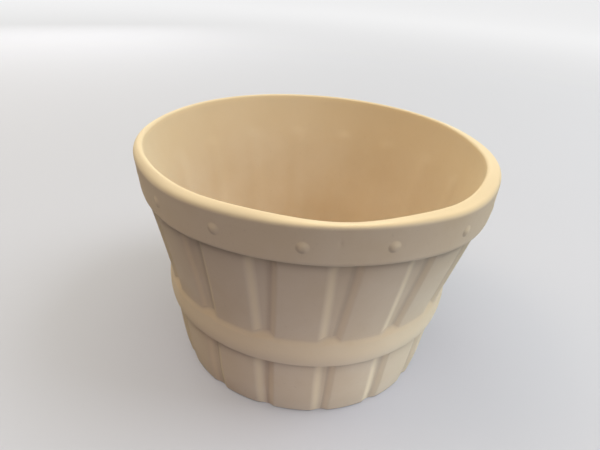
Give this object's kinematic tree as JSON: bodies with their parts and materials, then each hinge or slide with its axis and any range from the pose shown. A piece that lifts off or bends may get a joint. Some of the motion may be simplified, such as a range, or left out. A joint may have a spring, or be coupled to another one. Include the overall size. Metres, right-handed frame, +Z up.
{
  "type": "barrel planter",
  "caption": "Round flared clay planter in the form of a slatted barrel, with raised staves, a hoop round its waist, and a studded rim band with a rounded lip.",
  "frame": {"origin": "centre of the foot ring, on the surface that the planter stands on", "axes": "+Z up along the pot's axis; the middle of a stave faces -Y, the side nearest the camera in the picture, and +X is to the right there"},
  "size_m": [0.1698, 0.1698, 0.113],
  "materials": {
    "bisque_clay": "matte"
  },
  "bodies": {
    "root": {"pot_wall": "bisque_clay", "pot_floor": "bisque_clay", "rim_band": "bisque_clay", "middle_hoop": "bisque_clay", "stave_01": "bisque_clay", "stave_02": "bisque_clay", "stave_03": "bisque_clay", "stave_04": "bisque_clay", "stave_05": "bisque_clay", "stave_06": "bisque_clay", "stave_07": "bisque_clay", "stave_08": "bisque_clay", "stave_09": "bisque_clay", "stave_10": "bisque_clay", "stave_11": "bisque_clay", "stave_12": "bisque_clay", "stave_13": "bisque_clay", "stave_14": "bisque_clay", "stave_15": "bisque_clay", "stave_16": "bisque_clay", "rim_stud_01": "bisque_clay", "rim_stud_02": "bisque_clay", "rim_stud_03": "bisque_clay", "rim_stud_04": "bisque_clay", "rim_stud_05": "bisque_clay", "rim_stud_06": "bisque_clay", "rim_stud_07": "bisque_clay", "rim_stud_08": "bisque_clay", "rim_stud_09": "bisque_clay", "rim_stud_10": "bisque_clay", "rim_stud_11": "bisque_clay", "rim_stud_12": "bisque_clay", "rim_stud_13": "bisque_clay", "rim_stud_14": "bisque_clay", "rim_stud_15": "bisque_clay", "rim_stud_16": "bisque_clay"}
  },
  "joints": []
}
